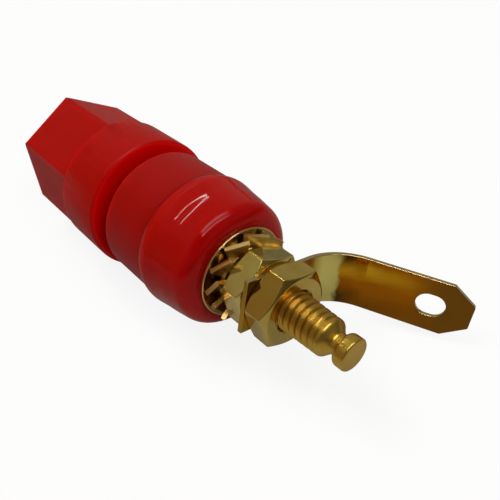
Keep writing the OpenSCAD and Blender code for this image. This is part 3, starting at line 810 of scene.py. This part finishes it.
# For mirrors: a painted pool of light near the object and a painted shadow beside the cap.
FLOOR_MIRRORED_NEAR = (0.24, 0.225, 0.175, 1)
FLOOR_MIRRORED_FAR = (0.09, 0.08, 0.06, 1)
FLOOR_MIRRORED_CAP_SHADOW = (0.12, 0.115, 0.10, 1)
FLOOR_FAR = (0.03, 0.20)
FLOOR_CAP_SIDE = (0.004, -0.014)
FLOOR_CAP_REACH = (0.10, 0.05)
FLOOR_LIFT = 0.88
GLIMMER_NEAR = 0.125
GLIMMER_FAR = 0.04
GLIMMER_IN_CAP_SHADOW = 0.6
CAMERA_BACK = (0.4001, 0.6077, 0.6860)
ROOM_SEEN = (0.975, 0.975, 0.97, 1)
ROOM_MIRRORED_SHARE = 0.02
ROOM_BACK_LEFT = (0.26, 0.25, 0.20, 1)
ROOM_BACK_RIGHT = (0.20, 0.13, 0.06, 1)
ROOM_BACK_DARK = (0.05, 0.04, 0.03, 1)
ROOM_BACK_HIGH = (0.25, 0.235, 0.16, 1)
ROOM_FRONT_LOW = (0.045, 0.032, 0.02, 1)
ROOM_FRONT_HIGH = (0.13, 0.12, 0.11, 1)
ROOM_BY_CAMERA = (0.03, 0.022, 0.015, 1)
ROOM_SIDES = (-0.2, 0.4)
ROOM_BESIDE = (0.3, 0.7)
ROOM_ABOVE_DARK = (0.22, 0.5)
ROOM_HIGH = (0.60, 0.70)
ROOM_FRONT_RISE = (0.08, 0.30)
ROOM_ENDS = (-0.3, 0.3)
ROOM_NEAR_CAMERA = (0.87, 0.95)


def studio_floor():
    """Pale floor: the camera sees it white with the object's soft shadow. Mirrors see it dimmer, with a
    painted pool of light near the object that fades far away, and a painted shadow beside the cap."""
    mesh = bpy.data.meshes.new("floor")
    corners = [(FLOOR_HALF * x, FLOOR_HALF * y, FLOOR_Z) for x, y in FLOOR_CORNERS]
    mesh.from_pydata(corners, [], [(0, 1, 2, 3)])
    floor = bpy.data.objects.new("floor", mesh)
    scene.collection.objects.link(floor)
    material = bpy.data.materials.new("floor_white")
    t = Tree(material)
    rays = t.node("LightPath")
    to_camera = rays.outputs["Is Camera Ray"]
    mirrored = t.mirrored(rays)
    place = t.place()
    distance = t.length(place)
    # Painted pool of light seen in mirrors: brighter near the object, darker far away.
    far = t.ramp(distance, *FLOOR_FAR)
    # Painted shadow seen in mirrors beside the cap.
    cap_side = t.ramp(t.station(place), *FLOOR_CAP_SIDE)
    painted_cap_shadow = t.math("MULTIPLY", cap_side, t.ramp(distance, *FLOOR_CAP_REACH))
    seen = t.mix(far, FLOOR_MIRRORED_NEAR, FLOOR_MIRRORED_FAR)
    seen = t.mix(painted_cap_shadow, seen, FLOOR_MIRRORED_CAP_SHADOW)
    shade = t.mix(mirrored, FLOOR_LIT, seen)
    shade = t.mix(to_camera, shade, FLOOR_SEEN)
    paint = t.node("BsdfDiffuse", {"Color": shade})
    glow = t.node("Emission", {"Color": WHITE, "Strength": 1.0})
    glimmer = t.math("MULTIPLY", t.ramp(far, 0.0, 1.0, GLIMMER_NEAR, GLIMMER_FAR),
                     t.ramp(painted_cap_shadow, 0.0, 1.0, 1.0, GLIMMER_IN_CAP_SHADOW))
    share = t.math("ADD", t.math("MULTIPLY", to_camera, FLOOR_LIFT), t.math("MULTIPLY", mirrored, glimmer))
    lift = t.node("MixShader", {0: share, 1: paint.outputs[0], 2: glow.outputs[0]})
    t.finish(lift.outputs[0])
    mesh.materials.append(material)


def studio_world():
    """Dim room: warm towards -Y, grey towards +Y, dark low down at both ends and where the camera stands.
    The camera sees it white, like the floor, and mirrors see a trace of that."""
    world = bpy.data.worlds.new("studio")
    scene.world = world
    t = Tree(world)
    outward = t.node("TexCoord").outputs["Generated"]
    towards = t.node("SeparateXYZ", {0: outward})
    x = towards.outputs["X"]
    y = towards.outputs["Y"]
    z = towards.outputs["Z"]
    wall = t.mix(t.ramp(x, *ROOM_SIDES), ROOM_BACK_LEFT, ROOM_BACK_RIGHT)
    skirting = t.mix(t.ramp(t.math("ABSOLUTE", x), *ROOM_BESIDE), ROOM_BACK_DARK, wall)
    back = t.mix(t.ramp(z, *ROOM_ABOVE_DARK), skirting, wall)
    back = t.mix(t.ramp(z, *ROOM_HIGH), back, ROOM_BACK_HIGH)
    front = t.mix(t.ramp(z, *ROOM_FRONT_RISE), ROOM_FRONT_LOW, ROOM_FRONT_HIGH)
    colour = t.mix(t.ramp(y, *ROOM_ENDS), back, front)
    colour = t.mix(t.ramp(t.dot(outward, CAMERA_BACK), *ROOM_NEAR_CAMERA), colour, ROOM_BY_CAMERA)
    rays = t.node("LightPath")
    mirrored_share = t.math("MULTIPLY", t.mirrored(rays), ROOM_MIRRORED_SHARE)
    colour = t.mix(t.math("ADD", rays.outputs["Is Camera Ray"], mirrored_share), colour, ROOM_SEEN)
    glow = t.node("Background", {"Color": colour, "Strength": 1.0})
    t.finish(glow.outputs[0], out="OutputWorld")


# Lamps

STRIP_AWAY = 0.4
STRIP_HUB = np.array([0.0, 0.0035, 0.0065])
STRIP_COLUMNS = 24
CEILING_SPAN = (-0.50, 0.38)
CEILING_Y = -0.505
CEILING_SLOPE = 0.075
CEILING_BEND_X = 0.02
CEILING_WIDTH = 0.006
SLAT_SPAN = (-0.55, 0.30)
SLAT_WIDTH = 0.06
SLAT_BOW = 0.1
SLAT_MIDDLE_X = -0.12
SLATS = (("low", 0.09, 6), ("middle", 0.25, 10), ("high", 0.52, 6))


def lamp(name, place, aim, size, power):
    """Soft rectangular lamp that lights surfaces without showing in them."""
    data = bpy.data.lights.new(name, "AREA")
    data.shape = "RECTANGLE"
    data.size = size[0]
    data.size_y = size[1]
    data.energy = power
    made = bpy.data.objects.new(name, data)
    made.location = place
    made.rotation_mode = "QUATERNION"
    made.rotation_quaternion = (Vector(aim) - Vector(place)).to_track_quat("-Z", "Y")
    made.visible_camera = False
    made.visible_glossy = False
    scene.collection.objects.link(made)


def strip_light(name, x, y, width, strength):
    """Narrow curved lamp that shows in shiny surfaces alone: a ribbon on a sphere about the rear insulator,
    in directions (x, y, root of 1 - x squared - y squared) from the hub, y up to half the width off."""
    across = np.array([-0.5, 0.5])[:, None] * width
    y = y + across
    x = np.broadcast_to(x, y.shape)
    z = np.sqrt(1 - x * x - y * y)
    points = STRIP_HUB + STRIP_AWAY * np.stack([x, y, z], axis=-1)
    index = np.arange(x.size).reshape(x.shape)
    corners = [index[:-1, :-1], index[1:, :-1], index[1:, 1:], index[:-1, 1:]]
    faces = np.stack(corners, axis=-1).reshape(-1, 4)
    mesh = bpy.data.meshes.new(name)
    mesh.from_pydata(points.reshape(-1, 3), [], faces)
    made = bpy.data.objects.new(name, mesh)
    scene.collection.objects.link(made)
    material = bpy.data.materials.new(name)
    t = Tree(material)
    t.finish(t.node("Emission", {"Color": WHITE, "Strength": strength}).outputs[0])
    mesh.materials.append(material)
    made.visible_camera = False
    made.visible_diffuse = False


# Camera

SENSOR_WIDTH = 36.0
LENS = 40.823
CAMERA_RIGHT = (-0.7472, 0.6497, -0.1398)
CAMERA_PLACE = (19.905, 39.392, 38.379)


def photo_camera():
    """Camera at the photograph's place: its back, right and up directions in the jack's frame."""
    data = bpy.data.cameras.new("camera")
    data.sensor_fit = "HORIZONTAL"
    data.sensor_width = SENSOR_WIDTH
    data.lens = LENS
    data.clip_start = 0.001
    data.clip_end = 10.0
    made = bpy.data.objects.new("camera", data)
    back = Vector(CAMERA_BACK).normalized()
    right = Vector(CAMERA_RIGHT).normalized()
    up = back.cross(right)
    right = up.cross(back)
    turn = Matrix((right, up, back)).transposed().to_4x4()
    made.matrix_world = Matrix.Translation(Vector(CAMERA_PLACE) * MM) @ turn
    scene.collection.objects.link(made)
    scene.camera = made


studio_floor()
studio_world()
lamp("key", place=(0.04, -0.22, 0.44), aim=(0, 0, 0), size=(0.26, 0.26), power=1.6)
lamp("fill", place=(-0.06, 0.34, 0.36), aim=(0, 0, 0), size=(0.2, 0.2), power=0.95)
lamp("side", place=(0.40, -0.08, 0.02), aim=(0, -0.005, 0), size=(0.2, 0.1), power=0.18)
ceiling_x = np.linspace(*CEILING_SPAN, STRIP_COLUMNS)
ceiling_y = CEILING_Y + CEILING_SLOPE * np.minimum(ceiling_x, CEILING_BEND_X)
strip_light("ceiling_strip", ceiling_x, ceiling_y, width=CEILING_WIDTH, strength=20)
slat_x = np.linspace(*SLAT_SPAN, STRIP_COLUMNS)
for slat, middle_y, slat_strength in SLATS:
    slat_y = middle_y - SLAT_BOW * (slat_x - SLAT_MIDDLE_X) ** 2
    strip_light("window_slat_" + slat, slat_x, slat_y, width=SLAT_WIDTH, strength=slat_strength)
photo_camera()
scene.view_settings.view_transform = "Standard"
